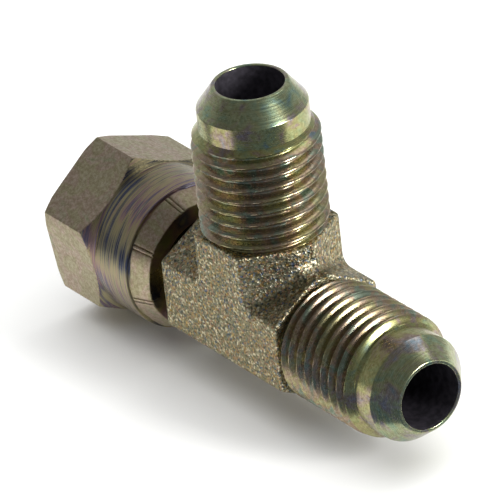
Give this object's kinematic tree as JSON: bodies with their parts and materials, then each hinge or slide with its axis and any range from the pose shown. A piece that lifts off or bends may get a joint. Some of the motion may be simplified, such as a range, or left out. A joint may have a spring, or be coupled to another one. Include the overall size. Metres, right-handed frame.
{
  "type": "flare fitting",
  "caption": "Tee for flared tube: a forged body with two threaded cone ends and a loose swivel nut crimped on its third end.",
  "frame": {"origin": "crossing of the run's and the branch's centrelines", "axes": "+X along the run towards its male end, +Z along the branch, the swivel nut on the -X end"},
  "size_m": [0.0576, 0.0186, 0.0377],
  "materials": {
    "plated_forging": "yellow-passivated zinc on a shot-blasted forging with machined ends",
    "plated_turning": "yellow-passivated zinc on bright turned bar"
  },
  "bodies": {
    "tee": {"tee_body": "plated_forging"},
    "nut": {"swivel_nut": "plated_turning"}
  },
  "joints": [
    {"name": "nut_swivel", "type": "hinge", "parent": "tee", "child": "nut", "pos_m": [-0.018, 0, 0], "axis": [1, 0, 0], "continuous": true}
  ]
}
